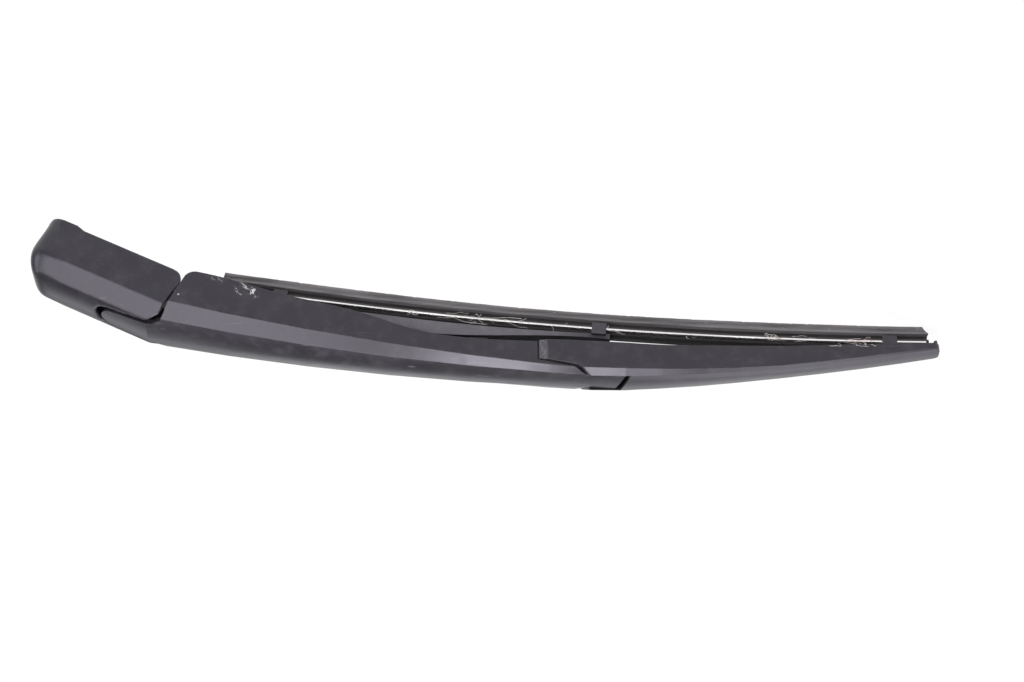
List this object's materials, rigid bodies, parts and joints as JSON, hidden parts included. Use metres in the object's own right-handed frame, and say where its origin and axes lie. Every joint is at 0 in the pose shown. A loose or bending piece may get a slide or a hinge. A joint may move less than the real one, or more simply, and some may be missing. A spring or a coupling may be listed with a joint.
{
  "type": "rear wiper arm with blade",
  "caption": "Curved moulded wiper arm with a capped drive head, a sprung hinge and a hooded pivoting blade whose clawed yoke holds a wiping rubber.",
  "frame": {"origin": "on the spindle axis in the drive head's splined seat, at the level of the cap's rim", "axes": "+Z away from the window along the spindle, +X from the spindle towards the arm's hinge, +Y to the near side"},
  "size_m": [0.3652, 0.0294, 0.1502],
  "materials": {
    "head_casting": "cast",
    "cap_plastic": "satin",
    "arm_plastic": "satin",
    "blade_plastic": "satin",
    "pin_steel": "ground",
    "bush_brass": "turned",
    "spring_steel": "oiled wire",
    "strip_steel": "rolled",
    "wiper_rubber": "dusty"
  },
  "bodies": {
    "head": {"drive_head": "head_casting", "head_cap": "cap_plastic", "hinge_pin": "pin_steel", "head_spring_pin": "pin_steel"},
    "arm": {"arm": "arm_plastic", "hinge_bush_near": "bush_brass", "hinge_bush_far": "bush_brass", "arm_spring_pin": "pin_steel", "arm_spring": "spring_steel"},
    "blade": {"blade_frame": "blade_plastic", "blade_pivot_pin": "pin_steel"},
    "yoke": {"yoke": "blade_plastic", "yoke_pin": "pin_steel", "wiper_rubber": "wiper_rubber", "strip_near": "strip_steel", "strip_far": "strip_steel"}
  },
  "joints": [
    {"name": "arm_lift", "type": "hinge", "parent": "head", "child": "arm", "pos_m": [0.0395, 0, 0.016], "axis": [0, -1, 0], "range_deg": [0, 50], "stiffness_Nm_per_rad": 0.8, "springref_deg": -114.59, "deforming": ["arm_spring"]},
    {"name": "blade_pivot", "type": "hinge", "parent": "arm", "child": "blade", "pos_m": [0.22503, 0, -0.0422], "axis": [0, -1, 0], "range_deg": [-2, 6]},
    {"name": "yoke_pivot", "type": "hinge", "parent": "blade", "child": "yoke", "pos_m": [0.15645, 0, -0.02734], "axis": [0, -1, 0], "range_deg": [-2.5, 2.5], "deforming": ["wiper_rubber", "strip_near", "strip_far"]}
  ]
}
